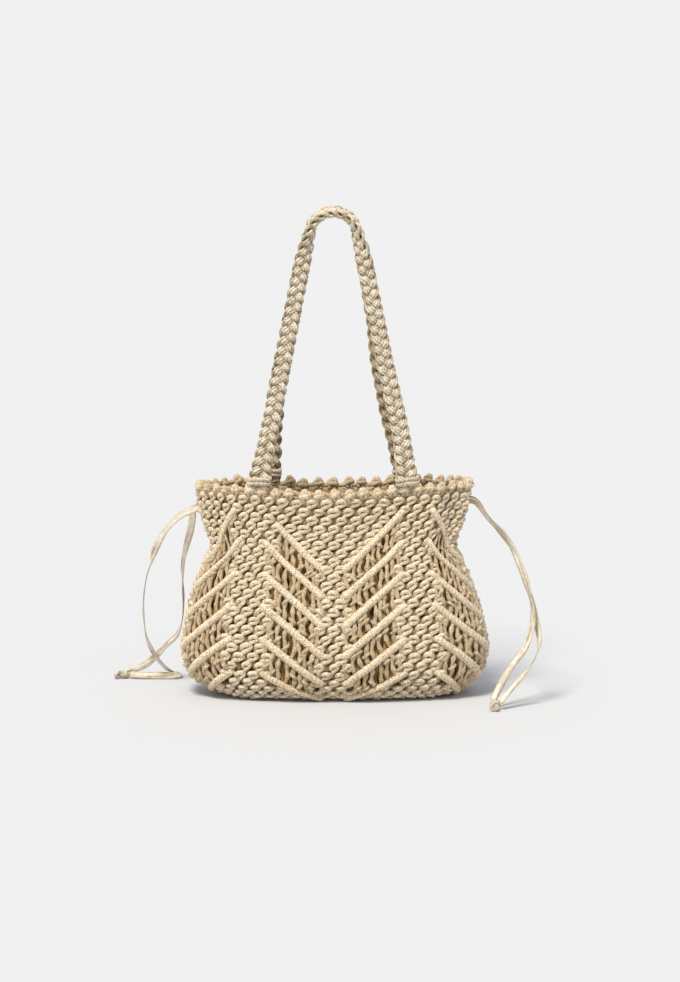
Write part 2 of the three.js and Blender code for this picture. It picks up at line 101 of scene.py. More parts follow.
def finishMaterial(tree, colour, height, depth, roughness, sheen):
    bump = addNode(tree, "Bump", {"Height": height, "Distance": depth * mm, "Strength": 1.0})
    shader = addNode(tree, "BsdfPrincipled", {
        "Base Color": colour, "Roughness": roughness, "Normal": bump.outputs[0], "Specular IOR Level": 0.2,
        "Sheen Weight": sheen, "Sheen Roughness": 0.5,
    })
    addNode(tree, "OutputMaterial", {"Surface": shader.outputs[0]})


# Soft braided cotton cord, speckled with the darker fibres in its braid. A cord's own map gives turns round
# it and millimetres along it. The height is the larger of |sin(pi (n round + along / pitch))| and
# |sin(pi (n round - along / pitch))|, which leaves small dimples where the braid's strands cross. Painted
# shade darkens those dimples towards the fleck colour, and by the shade attribute it paints what lies deep
# in the net ochre and what stands out cream. Flecks 1 to 2 mm long are olive brown.
def cordMaterial(name, pale, deep, fleckAndDimpleShade, strands, pitch, relief):
    material, tree = newMaterial(name)
    uv = addNode(tree, "UVMap", uv_map="cord")
    parts = addNode(tree, "SeparateXYZ", {0: uv.outputs[0]})
    place = addNode(tree, "TexCoord").outputs["Object"]
    shade = addNode(tree, "Attribute", attribute_name="shade")
    along = addNode(tree, "Math", {0: parts.outputs[1], 1: math.pi / pitch}, operation="MULTIPLY")
    around = addNode(tree, "Math", {0: parts.outputs[0], 1: math.pi * strands}, operation="MULTIPLY")
    waves = []
    for sign in ("ADD", "SUBTRACT"):
        angle = addNode(tree, "Math", {0: around.outputs[0], 1: along.outputs[0]}, operation=sign)
        wave = addNode(tree, "Math", {0: angle.outputs[0]}, operation="SINE")
        waves.append(addNode(tree, "Math", {0: wave.outputs[0]}, operation="ABSOLUTE").outputs[0])
    braid = addNode(tree, "Math", {0: waves[0], 1: waves[1]}, operation="MAXIMUM")
    fibres = addNode(tree, "TexNoise", {"Vector": place, "Scale": 560.0, "Detail": 2.0, "Roughness": 0.7})
    patches = addNode(tree, "TexNoise", {"Vector": place, "Scale": 90.0, "Detail": 3.0, "Roughness": 0.6})
    height = addNode(tree, "Math", {0: fibres.outputs[0], 1: 2.4, 2: braid.outputs[0]},
                     operation="MULTIPLY_ADD")
    blotch = addNode(tree, "MapRange", {0: patches.outputs[0], 1: 0.3, 2: 0.7, 3: -0.16, 4: 0.16})
    # The shade attribute is painted shade, mixed with blotches of random tone.
    share = addNode(tree, "Math", {0: shade.outputs["Fac"], 1: blotch.outputs[0]},
                    operation="ADD", use_clamp=True)
    ground = addNode(tree, "Mix", {0: share.outputs[0], 6: linear(deep), 7: linear(pale)}, data_type="RGBA")
    # Painted shade in the dimples where the braid's strands cross.
    dimpleShade = addNode(tree, "MapRange", {0: braid.outputs[0], 1: 0.8, 2: 0.35, 3: 0.0, 4: 0.35})
    speck = addNode(tree, "MapRange", {0: fibres.outputs[0], 1: 0.54, 2: 0.36, 3: 0.0, 4: 0.62})
    flecksAndDimpleShadeMask = addNode(tree, "Math", {0: dimpleShade.outputs[0], 1: speck.outputs[0]},
                    operation="ADD", use_clamp=True)
    colour = addNode(tree, "Mix", {0: flecksAndDimpleShadeMask.outputs[0], 6: ground.outputs[2], 7: linear(fleckAndDimpleShade)},
                     data_type="RGBA")
    finishMaterial(tree, colour.outputs[2], height.outputs[0], relief, 0.9, 0.15)
    return material


# Woven cotton tape. Its map gives millimetres across and along. The height is the product of a warp wave
# across and a weft wave along, sin(2 pi across / 0.7) sin(2 pi along / 0.9), over wrinkles that are drawn
# out along the tape, as where it was folded lengthwise. The wrinkles' hollows are painted darker, as painted
# shade.
def tapeMaterial(name, pale, hollowShade):
    material, tree = newMaterial(name)
    uv = addNode(tree, "UVMap", uv_map="cord")
    parts = addNode(tree, "SeparateXYZ", {0: uv.outputs[0]})
    place = addNode(tree, "TexCoord").outputs["Object"]
    waves = []
    for socket, pitch in ((0, 0.7), (1, 0.9)):
        angle = addNode(tree, "Math", {0: parts.outputs[socket], 1: turn / pitch}, operation="MULTIPLY")
        waves.append(addNode(tree, "Math", {0: angle.outputs[0]}, operation="SINE").outputs[0])
    weave = addNode(tree, "Math", {0: waves[0], 1: waves[1]}, operation="MULTIPLY")
    stretched = addNode(tree, "Mapping", {"Vector": uv.outputs[0], "Scale": (0.5, 0.03, 1.0)})
    crease = addNode(tree, "TexNoise", {"Vector": stretched.outputs[0], "Scale": 1.0, "Detail": 2.0})
    soft = addNode(tree, "TexNoise", {"Vector": place, "Scale": 240.0, "Detail": 3.0, "Roughness": 0.55})
    wrinkle = addNode(tree, "Math", {0: soft.outputs[0], 1: 0.3, 2: crease.outputs[0]},
                      operation="MULTIPLY_ADD")
    height = addNode(tree, "Math", {0: wrinkle.outputs[0], 1: 7.0, 2: weave.outputs[0]},
                     operation="MULTIPLY_ADD")
    # Painted shade: the lower a wrinkle, the darker its colour.
    hollowShadeMask = addNode(tree, "MapRange", {0: wrinkle.outputs[0], 1: 0.5, 2: 0.76, 3: 0.0, 4: 1.0})
    colour = addNode(tree, "Mix", {0: hollowShadeMask.outputs[0], 6: linear(hollowShade), 7: linear(pale)}, data_type="RGBA")
    finishMaterial(tree, colour.outputs[2], height.outputs[0], 0.14, 0.88, 0.2)
    return material


# The net's cord is painted cream where it stands out and warm ochre in its depths, as painted shade, so the
# knots read one by one.
netCotton = cordMaterial("natural cotton cord", "#fbe8c8", "#a67f40", "#75602f",
                         strands=8, pitch=3.4, relief=0.5)
# The handles' cord has a finer braid, with crowns painted whiter and hollows painted browner, as painted
# highlight and shade, which make the plait look deep.
handleCotton = cordMaterial("plaited cotton cord", "#fff1d7", "#8e6d36", "#5a4d30",
                            strands=5, pitch=2.6, relief=0.4)
# The tape is smooth and off-white, with soft lengthwise creases whose hollows carry painted shade, and hardly
# any texture from afar.
tapeCotton = tapeMaterial("woven cotton tape", "#efe5d1", "#b39d7c")

print("mesh tools")


# How far each point lies along its path.
def lengths(points):
    steps = np.linalg.norm(np.diff(points, axis=-2), axis=-1)
    return np.concatenate([np.zeros((*steps.shape[:-1], 1)), np.cumsum(steps, axis=-1)], axis=-1)


# The share s of the way from low to high, eased as 3 s^2 - 2 s^3.
def smooth(low, high, value):
    share = np.clip((value - low) / (high - low), 0, 1)
    return share * share * (3 - 2 * share)


fineness = 60  # fine points for each given point, where a curve is measured


# A centripetal Catmull-Rom curve through the points: each span is a cubic whose slopes come from the
# points before and after it, weighed by the square roots of their distances.
def curve(points, count):
    points = np.asarray(points, float)
    ends = np.vstack([2 * points[0] - points[1], points, 2 * points[-1] - points[-2]])
    gaps = np.maximum(np.linalg.norm(np.diff(ends, axis=0), axis=1) ** 0.5, 1e-4)
    place = np.linspace(0, len(points) - 1, count)
    i = np.minimum(place.astype(int), len(points) - 2)
    w = (place - i)[:, None]
    p0, p1, p2, p3 = (ends[i + k] for k in range(4))
    d0, d1, d2 = (gaps[i + k][:, None] for k in range(3))
    m1 = ((p1 - p0) / d0 - (p2 - p0) / (d0 + d1) + (p2 - p1) / d1) * d1
    m2 = ((p2 - p1) / d1 - (p3 - p1) / (d1 + d2) + (p3 - p2) / d2) * d1
    return (((2 * p1 - 2 * p2 + m1 + m2) * w - 3 * p1 + 3 * p2 - 2 * m1 - m2) * w + m1) * w + p1


# The same curve with its points evenly spread along its length.
def evenCurve(points, count):
    fine = curve(points, fineness * len(points))
    run = lengths(fine)
    return np.stack([np.interp(np.linspace(0, run[-1], count), run, fine[:, k]) for k in range(3)], axis=1)


def circle(sides):
    angle = turn * (np.arange(sides) + 0.5) / sides
    return np.stack([np.cos(angle), np.sin(angle)], axis=1)


# A strap's outline: a superellipse of the given width and thickness.
def strap(width, thickness, sides):
    corners = circle(sides)
    return np.sign(corners) * np.abs(corners) ** (2 / 2.6) * (width / 2, thickness / 2)


# Tubes along many paths at once. Every path has equally many points and carries its section along
# without twisting: each step takes from the last width its part along the new direction. The ends are
# closed with strips of quads. The map is turns round (or millimetres across) by millimetres along. Wide is
# the direction in which the width starts, and shade is painted shade, from 0 (darkest) in the depths to 1
# (palest) on what stands out.
def tubes(paths, radius, section, wide=(0.25, 0.15, 1.0), shade=0.5, mapWidth=None):
    paths = np.asarray(paths, float)
    paths = paths if paths.ndim == 3 else paths[None]
    count, stations = paths.shape[:2]
    sides = section.shape[-2]
    radius = np.broadcast_to(np.asarray(radius, float), (count, stations))[..., None, None]
    ahead = np.gradient(paths, axis=1)
    ahead /= np.linalg.norm(ahead, axis=2, keepdims=True)
    across = np.empty_like(paths)
    here = np.broadcast_to(np.asarray(wide, float), (count, 3))
    for i in range(stations):
        here = here - (here * ahead[:, i]).sum(1, keepdims=True) * ahead[:, i]
        here = here / np.linalg.norm(here, axis=1, keepdims=True)
        across[:, i] = here
    thick = np.cross(ahead, across)
    section = np.broadcast_to(section, (count, stations, sides, 2))
    points = paths[:, :, None] + radius * (
        across[:, :, None] * section[..., :1] + thick[:, :, None] * section[..., 1:])
    return skin(points, lengths(paths), shade, mapWidth)


# The closed skin of tubes whose rings of points are given, as (tubes, rings, sides, 3).
def skin(points, run, shade=0.5, mapWidth=None):
    count, stations, sides = points.shape[:3]
    i, j = np.meshgrid(np.arange(stations - 1), np.arange(sides), indexing="ij")
    nextSide = (j + 1) % sides
    side = np.stack([i * sides + j, i * sides + nextSide,
                     (i + 1) * sides + nextSide, (i + 1) * sides + j], -1)
    side = side.reshape(-1, 4)
    strip = np.arange(sides // 2 - 1)
    cap = np.stack([strip, strip + 1, sides - 2 - strip, sides - 1 - strip], -1)
    local = np.concatenate([side, cap[:, ::-1], cap + (stations - 1) * sides])
    quads = local[None] + (np.arange(count) * stations * sides)[:, None, None]
    if mapWidth is None:
        u = np.stack([j, j + 1, j + 1, j], -1).reshape(-1, 4) / sides
    else:
        half = mapWidth * np.abs(((np.arange(sides + 1) / sides + 0.25) % 1) - 0.5) * 2
        u = half[np.stack([j, j + 1, j + 1, j], -1)].reshape(-1, 4)
    v = run[:, np.stack([i, i, i + 1, i + 1], -1).reshape(-1, 4)]
    sideMap = np.stack([np.broadcast_to(u, v.shape), v], -1)
    first = np.stack([run[:, :1], run[:, -1:]], 1)
    capMap = np.zeros((count, 2, len(cap), 4, 2))
    capMap[..., 1] = first[:, :, :, None]
    uv = np.concatenate([sideMap, capMap.reshape(count, -1, 4, 2)], 1)
    shades = np.broadcast_to(np.asarray(shade, float), (count, stations * sides))
    return {"points": points.reshape(-1, 3), "quads": quads.reshape(-1, 4), "uv": uv.reshape(-1, 4, 2),
            "shade": shades.reshape(-1).copy()}


def joined(batches):
    starts = np.cumsum([0] + [len(batch["points"]) for batch in batches[:-1]])
    parts = {key: np.concatenate([batch[key] for batch in batches]) for key in ("points", "uv", "shade")}
    parts["quads"] = np.concatenate([batch["quads"] + start for batch, start in zip(batches, starts)])
    return parts


# Copies of a batch: each is scaled by its size, turned in the plane of the wall and moved to its place.
# Its painted shade is shifted as given, and its map is moved along at random, so that no two look alike.
def repeated(batch, places, angle, size, shade):
    cosine, sine = np.cos(angle)[:, None], np.sin(angle)[:, None]
    points = batch["points"][None] * np.asarray(size)[:, None]
    points = np.stack([points[..., 0] * cosine - points[..., 1] * sine,
                       points[..., 0] * sine + points[..., 1] * cosine, points[..., 2]], -1)
    count, each = points.shape[:2]
    uv = np.tile(batch["uv"][None], (count, 1, 1, 1))
    uv[..., 1] += rng.uniform(0, 30, count)[:, None, None]
    quads = batch["quads"][None] + (np.arange(count) * each)[:, None, None]
    return {"points": (points + places[:, None]).reshape(-1, 3), "quads": quads.reshape(-1, 4),
            "uv": uv.reshape(-1, 4, 2), "shade": (batch["shade"][None] + shade[:, None]).reshape(-1)}


# Makes one mesh of the batches, puts it on the root body and hides the nodes that it replaces. Its slot is
# not used.
def makePiece(name, batches, material, slot, *nodes):
    batch = joined(batches)
    points, quads = batch["points"] * mm, batch["quads"]
    mesh = bpy.data.meshes.new(name)
    mesh.vertices.add(len(points))
    mesh.vertices.foreach_set("co", points.astype(np.float32).ravel())
    mesh.loops.add(quads.size)
    mesh.loops.foreach_set("vertex_index", quads.astype(np.int32).ravel())
    mesh.polygons.add(len(quads))
    mesh.polygons.foreach_set("loop_start", np.arange(0, quads.size, 4, dtype=np.int32))
    mesh.polygons.foreach_set("use_smooth", np.ones(len(quads), bool))
    mesh.uv_layers.new(name="cord").data.foreach_set("uv", batch["uv"].astype(np.float32).ravel())
    shade = mesh.attributes.new("shade", "FLOAT", "POINT")
    shade.data.foreach_set("value", batch["shade"].astype(np.float32))
    mesh.materials.append(material)
    mesh.update(calc_edges=True)
    mesh.validate()
    piece = bpy.data.objects.new(name, mesh)
    bpy.context.scene.collection.objects.link(piece)
    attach(piece, "root")
    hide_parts(*nodes)
    print(f"  {name}: {2 * len(quads)} triangles")
    return piece


print("free tapes")
tape = {"width": 8.0, "thickness": 1.3, "step": 2.6, "cup": 0.6, "ripple": 0.4, "sides": 14, "loopSides": 12}
tapeRoutes = {  # how far each is twisted at even steps along it, in degrees, and its route
    "tape_right_inner": ((0, 50, 45, 10, 50, 25, 15, 0, 0), [
        (146.4, -5, 220.2), (154.5, -5, 220.2), (158.5, -5, 218.6), (164, -5.5, 212.5), (173, -8, 201),
        (187, -12.5, 186), (197, -17.5, 174), (203, -22.5, 162), (209.5, -28.5, 147), (216, -35, 128.5),
        (221, -41.5, 110), (222.5, -46, 93.5), (219, -50, 77), (212.6, -55, 62), (199.5, -64, 46),
        (188, -73, 29.5), (180.5, -79.5, 15.5), (177.3, -84, 9.8)]),
    "tape_right_outer": ((0, 60, 20, 75, 45, 20, 65, 30, 0), [
        (146.4, 5, 220.2), (154.5, 5, 220.2), (158.5, 5, 218.6), (164, 4.5, 212.5), (173, 2, 200),
        (187, -3, 184.5), (197, -8, 172), (203.5, -13, 160), (210.5, -19, 144.5), (217, -26, 126.5),
        (222.5, -33, 108.5), (225.5, -40, 92), (228.5, -47.5, 77.5), (228, -56, 61.5), (220, -65, 46),
        (208, -74, 33), (195, -82, 19), (184.6, -89.2, 8.4)]),
    "tape_left_short": ((0, 0, 30, 75, 80, 60, 25, 0), [
        (-144.4, 5, 210.8), (-152.5, 5, 210.8), (-157, 5.5, 208.5), (-158, 8, 197), (-160, 11, 184),
        (-165, 17, 164), (-169.5, 24, 142.6), (-170, 31, 118.4), (-169.5, 39, 94.1), (-171.3, 47, 72.5),
        (-177, 54, 54.1), (-189.5, 61, 41), (-202, 67, 27.2), (-213.5, 71, 16.5), (-222.8, 73.5, 11.8),
        (-232, 75.8, 10.3)]),
    "tape_left_long": ((0, 45, 20, 70, 72, 55, 25, 15, 0, 0), [
        (-144.4, -5, 210.8), (-152.5, -5, 210.8), (-158, -5.5, 209), (-169, -3, 204), (-184, 2, 189),
        (-198, 10, 166), (-206, 18, 144), (-211.5, 27, 121), (-214.5, 36, 97), (-214.5, 45, 73),
        (-211.5, 51, 51.5), (-203.5, 57, 31), (-192.5, 68, 14), (-184, 77, 6.4), (-178.5, 79.5, 4.6),
        (-174.5, 76, 4.5), (-176.5, 70.5, 4.5), (-184, 67.5, 4.5), (-200, 66.8, 4.6),
        (-215.8, 67.3, 4.6), (-231, 70, 5)]),
}
# Each knot's place, and the heading of its length in degrees.
tapeKnots = {"knot_left": ((-238, 72, 5.2), 190), "knot_right": ((179, -90, 5.4), 265)}


# A tape's section along its length, a thin strap that turns by its twist. It cups to and fro by
# cup sin(along / 21) ((x / half)^2 - 0.4), and its edges ripple against each other by
# ripple (x / half) (sin(along / 7) + sin(along / 11)).
def tapeSections(run, phase, twist):
    flat = strap(tape["width"], tape["thickness"], tape["sides"])
    fine = 200
    across = flat[:, 0] / (tape["width"] / 2)
    cup = tape["cup"] * np.sin(run / 21 + phase)[:, None] * (across ** 2 - 0.4)
    ripple = tape["ripple"] * (np.sin(run / 7 + 2 * phase) + np.sin(run / 11 + phase))[:, None] * across
    shape = np.repeat(flat[None], len(run), 0)
    shape[..., 1] += cup + ripple
    steps = np.stack([np.zeros(len(twist)), np.radians(twist), np.arange(len(twist))], 1)
    angle = np.interp(run, np.linspace(0, run[-1], fine), curve(steps, fine)[:, 1])
    cosine, sine = np.cos(angle)[:, None], np.sin(angle)[:, None]
    return np.stack([shape[..., 0] * cosine - shape[..., 1] * sine,
                     shape[..., 0] * sine + shape[..., 1] * cosine], -1)


for number, (name, (twist, points)) in enumerate(tapeRoutes.items()):
    rough = curve(points, fineness * len(points))
    length = float(lengths(rough)[-1] * mm)
    route = evenCurve(points, int(length / mm / tape["step"]))
    section = tapeSections(lengths(route), number, twist)
    ribbon = tubes(route, 1.0, section, wide=(0, 0, 1), mapWidth=tape["width"])
    makePiece(name + "_ribbon", [ribbon], tapeCotton, "cotton_tape", name)
    print(f"  {name} is {length:.4f} m long")


# An overhand knot of tape: two bands of tape drawn tight round a core that swells and narrows as an
# ellipse along its heading, each band an ellipse in its own leaning plane, and two short ends beyond.
# A band is given by its place, its lean in degrees, its first angle and its radius.
wound = {
    "half": 6.6, "end": 0.5, "swell": 3.6, "bands": ((-1.6, 32, 2.0, 3.9), (2.0, -36, 4.4, 3.6)),
    "turns": 1.12, "grow": (0.94, 1.08), "flat": 0.95, "band": (6.4, 1.5), "tail": (5.6, 1.2),
    "sides": 12, "stations": 34,
}


def tapeKnot(name, middle, heading):
    t = np.linspace(-1, 1, 15)
    core = np.stack([wound["half"] * t, 0 * t, 0 * t], 1)
    radius = wound["end"] + wound["swell"] * np.sqrt(1 - t ** 2)
    filling = tubes(core, radius, circle(wound["sides"]), mapWidth=12)
    bands = []
    for place, lean, begin, size in wound["bands"]:
        angle = begin + np.linspace(0, wound["turns"] * turn, wound["stations"])
        grow = size * np.linspace(*wound["grow"], wound["stations"])
        tilt = math.tan(math.radians(lean))
        ring = np.stack([place + tilt * grow * np.cos(angle), grow * np.cos(angle),
                         wound["flat"] * grow * np.sin(angle)], 1)
        outline = strap(*wound["band"], wound["sides"])
        bands.append(tubes(ring, 1.0, outline, wide=(1, -tilt, 0), mapWidth=tape["width"]))
    tails = []
    for side, lift in ((-1, -0.8), (1, 0.6)):
        way = [(3, side, 0), (6.5, 1.5 * side, lift), (9, 2.4 * side, lift - 1.2), (11, 3.4 * side, -3.2)]
        outline = strap(*wound["tail"], wound["sides"])
        tails.append(tubes(evenCurve(way, 9), 1.0, outline, wide=(0, 1, 0.7 * side), mapWidth=tape["width"]))
    batch = joined([filling, *bands, *tails])
    cosine, sine = math.cos(math.radians(heading)), math.sin(math.radians(heading))
    x, y, z = batch["points"].T
    batch["points"] = np.stack([x * cosine - y * sine, x * sine + y * cosine, z], 1) + middle
    batch["points"][:, 2] = np.maximum(batch["points"][:, 2], 0.1)
    return makePiece(name + "_wound", [batch], tapeCotton, "cotton_tape", name)


woundKnots = {name: tapeKnot(name, *place) for name, place in tapeKnots.items()}

print("wall")
wall = {"width": 340.0, "depth": 126.0, "height": 240.0, "thickness": 7.0, "sag": 5.0, "power": 2.4,
        "edgeSteps": 8001, "ringSteps": 9601}
profile = np.array([  # height, width and depth as shares of the bag's
    (1, 0.905, 0.52), (0.9, 0.885, 0.495), (0.8, 0.845, 0.52), (0.7, 0.8, 0.6), (0.6, 0.86, 0.71),
    (0.45, 0.94, 0.87), (0.3, 0.985, 0.965), (0.18, 1, 1), (0.09, 0.95, 0.955), (0.025, 0.83, 0.84),
    (0, 0.7, 0.66)])
folds = [  # place and spread round the bag, push in wall thicknesses, middle and reach down the wall
    (0.195, 0.02, -0.9, 0.12, 0.3), (0.305, 0.02, -0.9, 0.12, 0.3), (0.695, 0.02, -0.9, 0.12, 0.3),
    (0.805, 0.02, -0.9, 0.12, 0.3), (0.06, 0.03, -0.35, 0.2, 0.25), (0.93, 0.03, -0.45, 0.25, 0.25),
    (0.44, 0.03, -0.4, 0.22, 0.25), (0.57, 0.03, -0.35, 0.25, 0.25), (0, 0.045, 0.5, 0.62, 0.3),
    (0.5, 0.045, 0.5, 0.62, 0.3), (0.25, 0.06, 0.5, 0.72, 0.3), (0.75, 0.06, -0.6, 0.95, 0.15)]
halfWidth, halfDepth = wall["width"] / 2, wall["depth"] / 2
foot = wall["thickness"] / 2
edgeLine = curve(np.stack([profile[:, 1] * (halfWidth - foot), profile[:, 2] * (halfDepth - foot),
                           foot + profile[:, 0] * (wall["height"] - foot)], 1), wall["edgeSteps"])
edgeRun = lengths(edgeLine)
wallDrop = edgeRun[-1]
baseReach = profile[-1, 2] * halfDepth
ringAngle = np.linspace(0, turn, wall["ringSteps"])
ringLine = np.stack([np.sin(ringAngle), -np.cos(ringAngle)], 1)
ringLine = np.sign(ringLine) * np.abs(ringLine) ** (2 / wall["power"]) * (halfWidth, halfDepth)
ringRun = lengths(ringLine)
perimeter = ringRun[-1]


# The middle of the wall, at a distance round the bag and a distance down from the rim: the widest
# level's outline, gathered in at its sides by 1 - (1 - width) (x / half)^2, and drawn to a point below
# the base's edge. The rim hangs by sag cos(2 turn around) between the legs of each handle.
def plainWall(along, down):
    along = along % perimeter
    x, y = (np.interp(along, ringRun, ringLine[:, k]) for k in range(2))
    edge = [np.interp(np.clip(down, 0, wallDrop), edgeRun, edgeLine[:, k]) for k in range(3)]
    narrow = 1 - (1 - edge[0] / halfWidth) * (x / halfWidth) ** 2
    shrink = 1 - np.clip((down - wallDrop) / baseReach, 0, 1)
    sag = wall["sag"] * np.maximum(0, np.cos(2 * turn * along / perimeter))
    sag = sag * (1 - smooth(0, wallDrop / 2, down))
    return np.stack([x * narrow * shrink, y * edge[1] / halfDepth * shrink, edge[2] - sag], -1)


# The wall's outward and upward directions: outwards is the cross product of its slopes round the bag and
# up it, and turns straight down under the base.
def wallFrame(along, down):
    side = 0.002 * perimeter
    across = plainWall(along + side, down) - plainWall(along - side, down)
    upwards = plainWall(along, np.clip(down - 1, 0, wallDrop - 2))
    upwards = upwards - plainWall(along, np.clip(down + 1, 2, wallDrop))
    upwards /= np.linalg.norm(upwards, axis=-1, keepdims=True)
    out = np.cross(across, upwards)
    out /= np.linalg.norm(out, axis=-1, keepdims=True)
    below = smooth(wallDrop - 5, wallDrop + 3, down)[..., None]
    out = out * (1 - below) + np.array((0, 0, -1)) * below
    return out / np.linalg.norm(out, axis=-1, keepdims=True), upwards


# How far the folds push the wall out: for each, its depth times a smooth bump that fades round the bag
# within twice its spread, and down the wall within its reach.
def foldPush(along, down):
    push = np.zeros_like(along)
    for at, spread, depth, middle, reach in folds:
        apart = np.abs((along / perimeter - at + 0.5) % 1 - 0.5)
        below = np.abs(down / wallDrop - middle)
        push += depth * wall["thickness"] * (1 - smooth(0, 2 * spread, apart)) * (1 - smooth(0, reach, below))
    return push * (down < wallDrop)


# Lays a flat batch on the wall: its x runs round the bag, y is up from the rim and z is outwards.
def onWall(batch):
    along, down, out = batch["points"][:, 0], -batch["points"][:, 1], batch["points"][:, 2]
    outwards, upwards = wallFrame(along, down)
    points = plainWall(along, down) + outwards * (foldPush(along, down) + out)[:, None]
    points += upwards * np.maximum(-down, 0)[:, None]
    points[:, 2] = np.maximum(points[:, 2], 0.0)
    return {**batch, "points": points}


print("net")
net = {
    "panels": 4, "ribs": 6, "firstDrop": 27.0, "drop": 70.0, "lastDrop": 46.0, "lastRise": 16.0,
    "shoulder": 40.0, "middle": 24.0, "shortArm": 0.09, "knotsAcross": 12, "row": 10.3,
    "firstRow": 13.5, "ribClear": 7.5,
}
panel = perimeter / net["panels"]
armLow = net["middle"] / 2 / panel
armHigh = 0.5 - net["shoulder"] / 2 / panel
ribSpacing = (wallDrop - net["lastRise"] - net["firstDrop"] - net["lastDrop"]) / (net["ribs"] - 1)


# How far a place round the bag lies from the middle of its panel, as a share of the panel.
def fromMiddle(along):
    return (along / panel + 0.5) % 1 - 0.5


# How far down a line of ribs lies: firstDrop + line x spacing at the shoulders, and from there straight
# down by its drop (armHigh - |share|) / (armHigh - armLow) towards the middle of the panel.
def ribMiddle(line, share):
    drop = net["drop"] + (net["lastDrop"] - net["drop"]) * line / (net["ribs"] - 1)
    lowered = np.clip((armHigh - np.abs(share)) / (armHigh - armLow), 0, 1)
    return net["firstDrop"] + line * ribSpacing + drop * lowered


# A square knot: one cord arches over the front as a puffy lump, another slants out from under it to the
# lower left, and a third, pressed flat, runs behind from side to side and down. They reach the knots of
# the next row. Its painted shade is 0.66 + 0.16 times the height, so what stands out is painted paler and
# what lies deep darker.
squareKnot = {"arch": 2.9, "under": 2.6, "behind": 3.9, "flat": 0.55, "tilt": 7.0, "shade": 0.66,
              "slope": 0.16, "stations": (12, 8, 6), "sides": 6}
archWay = [(-3.4, -2.8, -2.8), (-4.2, -0.8, -0.6), (-3.3, 1.5, 1.8), (-0.6, 2.4, 3.0), (2.3, 2.0, 2.7),
           (4.2, 0.3, 0.8), (3.9, -1.8, -1.2), (2.2, -3.0, -2.8)]
underWay = [(5.6, 1.6, -1.6), (5.2, -1.4, 0.5), (1.4, -3.2, 2.2), (-2.6, -4.1, 1.7), (-5.7, -6.0, -0.2),
            (-7.8, -9.2, -2.8)]
behindWay = [(-8.4, 0.8, -3.4), (-3.0, 0.8, -3.6), (3.0, 0.6, -3.6), (8.6, -0.2, -3.0), (9.2, -4.6, -2.6),
             (7.8, -9.4, -3.4)]


def knotBatch():
    outline = circle(squareKnot["sides"])
    arch, under, behind = (evenCurve(way, stations) for way, stations in zip(
        (archWay, underWay, behindWay), squareKnot["stations"]))
    batch = joined([tubes(arch, squareKnot["arch"], outline), tubes(under, squareKnot["under"], outline),
                    tubes(behind, squareKnot["behind"], outline * (squareKnot["flat"], 1))])
    batch["shade"] = squareKnot["shade"] + squareKnot["slope"] * np.clip(batch["points"][:, 2], -4, 4)
    return batch


# The net's knots stand in rows, every second one half a pitch aside, wherever there is no rib or ladder:
# above the first line of ribs, below the last one, at the shoulders and along each panel's middle.
def knotPlaces():
    rows = int((wallDrop - net["firstRow"]) / net["row"]) + 1
    row, column = np.meshgrid(np.arange(rows), np.arange(net["knotsAcross"] * net["panels"]), indexing="ij")
    pitch = perimeter / (net["knotsAcross"] * net["panels"])
    along = ((column + 0.5 * ((row + 1) % 2)) * pitch).ravel()
    down = (net["firstRow"] + row * net["row"]).ravel()
    share = fromMiddle(along)
    above = down < ribMiddle(0, share) - net["ribClear"]
    below = down > ribMiddle(net["ribs"] - 1, share) + net["ribClear"]
    short = (np.abs(along - perimeter) < panel / 2) & (fromMiddle(along) < net["shortArm"] - armHigh)
    above |= short & (down < ribMiddle(1, share) - net["ribClear"])
    keep = above | below | (np.abs(share) > armHigh - 0.035) | (np.abs(share) < armLow + 0.03)
    return along[keep], down[keep]


knotFlat = knotBatch()
knotAlong, knotDown = knotPlaces()
panelOf = np.round(knotAlong / panel).astype(int) % net["panels"]


# One panel's knots, each moved, turned and sized a little at random, with a random tone. Low down they are
# flatter and deeper, and painted darker, as painted shade.
def knotsFor(number):
    chosen = panelOf == number
    along, down = knotAlong[chosen], knotDown[chosen]
    count = len(along)
    flatter = 1 - 0.2 * smooth(wallDrop - 45, wallDrop - 5, down)
    low = smooth(wallDrop - 60, wallDrop - 20, down)
    places = np.stack([along + rng.normal(0, 0.35, count), -down + rng.normal(0, 0.3, count),
                       rng.normal(0, 0.25, count) - 0.6 * low], 1)
    angle = np.radians(squareKnot["tilt"] + rng.normal(0, 8, count))
    grow = rng.normal(1, 0.05, count)
    size = np.stack([grow, grow * rng.normal(1, 0.05, count), grow * flatter], 1)
    # A random tone for each knot, and painted shade that darkens the knots low down.
    toneAndShade = rng.normal(0, 0.1, count) - 0.1 * smooth(0.3 * wallDrop, 0.85 * wallDrop, down)
    return onWall(repeated(knotFlat, places, angle, size, toneAndShade))


# A rib: a cord bound closely over another, so its radius swells between grooves that lie 4.6 mm apart
# and slant round it, 3.6 + 1.0 sqrt |sin(pi (along / 4.6 + round))|. It dives in at both ends. As it
# stands out it is painted palest, and a little darker low down, as painted shade.
rib = {"radius": 3.6, "swell": 1.0, "pitch": 4.6, "sides": 12, "stations": 90, "out": 2.6, "dive": 5.5}


